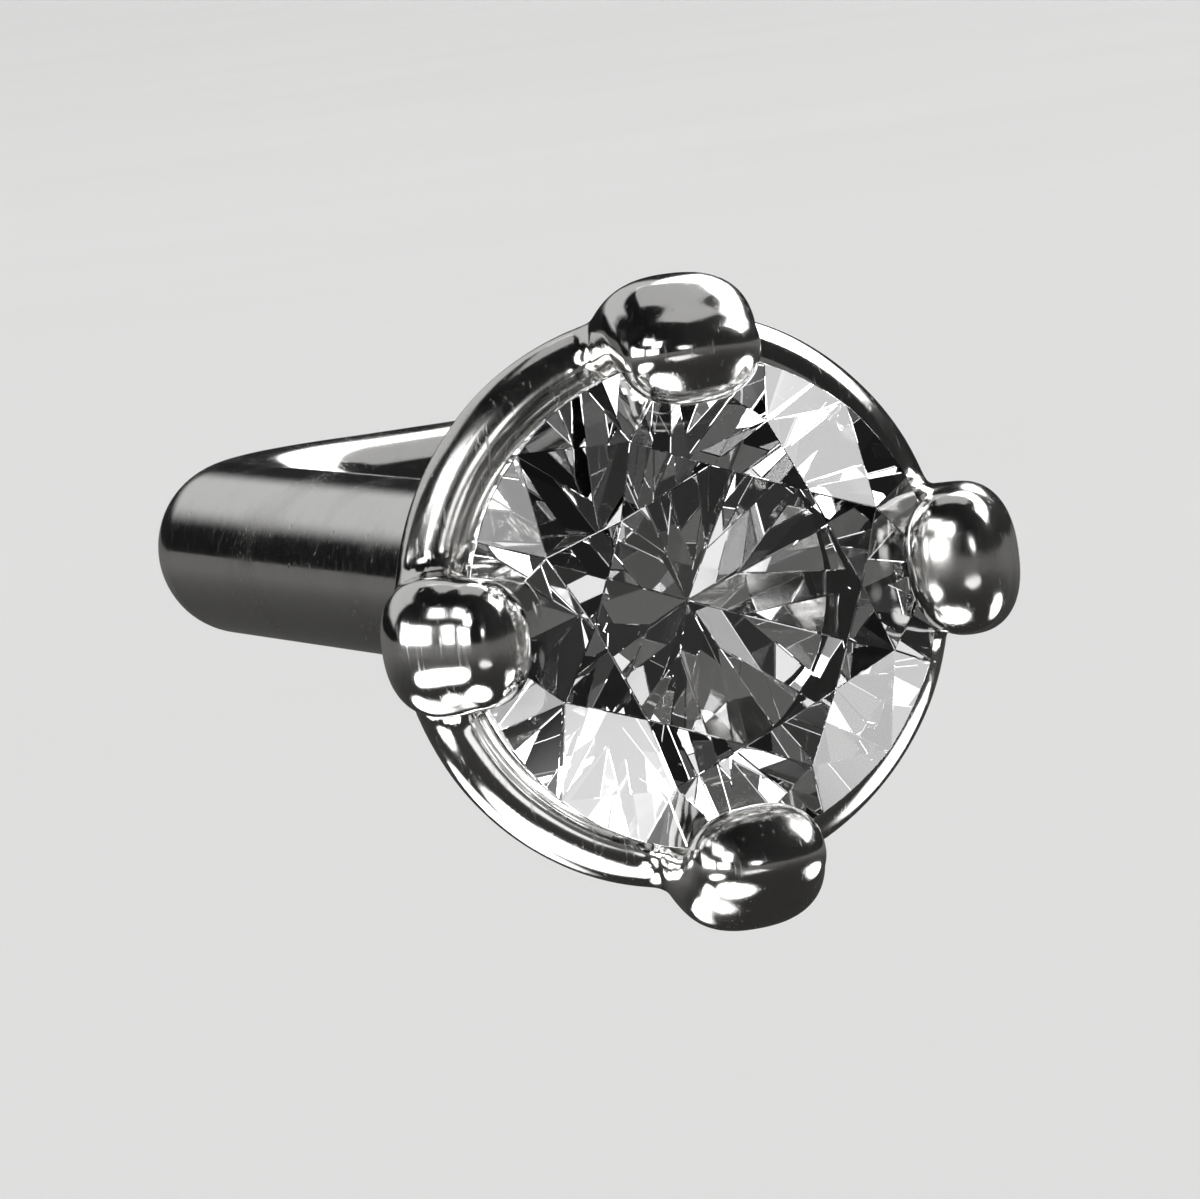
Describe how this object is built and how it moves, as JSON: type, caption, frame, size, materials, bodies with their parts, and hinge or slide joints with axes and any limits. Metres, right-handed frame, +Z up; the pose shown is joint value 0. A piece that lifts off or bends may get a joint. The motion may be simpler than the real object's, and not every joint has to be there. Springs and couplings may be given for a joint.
{
  "type": "nose stud",
  "caption": "Nose stud: a round brilliant-cut stone held by claws in an open basket, on a plain bent post that passes through the side of the nose.",
  "frame": {"origin": "on the post's axis, in the plane of the basket's flat back, where the post enters the piercing", "axes": "+Y along the post, into the nose; the stone faces -Y; +X the way the leg turns; +Z up, through one claw"},
  "size_m": [0.0043, 0.0086, 0.0028],
  "materials": {
    "polished_silver": "polished white metal such as sterling silver, bright, with fine polishing marks, rounded edges and slightly darker recesses",
    "clear_stone": "colourless faceted stone, polished, strongly refracting and reflecting"
  },
  "bodies": {
    "root": {"setting_and_post": "polished_silver", "stone": "clear_stone"}
  },
  "joints": []
}
